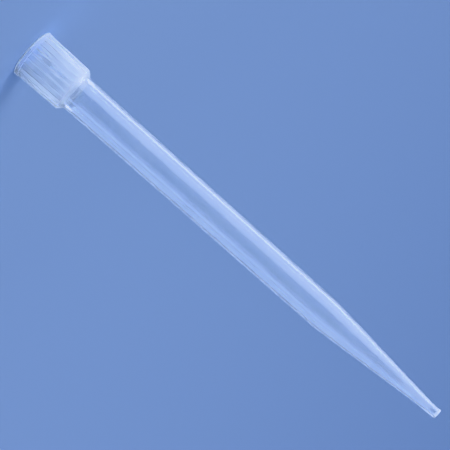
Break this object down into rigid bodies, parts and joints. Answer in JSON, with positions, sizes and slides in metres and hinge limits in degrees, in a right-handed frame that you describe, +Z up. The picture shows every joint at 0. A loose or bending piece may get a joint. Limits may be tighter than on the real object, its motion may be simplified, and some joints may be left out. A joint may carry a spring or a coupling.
{
  "type": "pipette tip",
  "caption": "Long moulded pipette tip: a ribbed collar with a nozzle seat, a slim hollow barrel and a fine tapered point.",
  "frame": {"origin": "bottom centre of the bounding box, which is the centre of the mouth, on the surface the tip stands on", "axes": "+Z up along the axis of the tip, from the mouth to the point; a rib of the collar faces each of +X, -X, +Y and -Y"},
  "size_m": [0.0148, 0.0148, 0.15],
  "materials": {
    "natural_polypropylene": "translucent milky natural polypropylene, moulded, soft gloss"
  },
  "bodies": {
    "root": {"pipette_tip": "natural_polypropylene"}
  },
  "joints": []
}
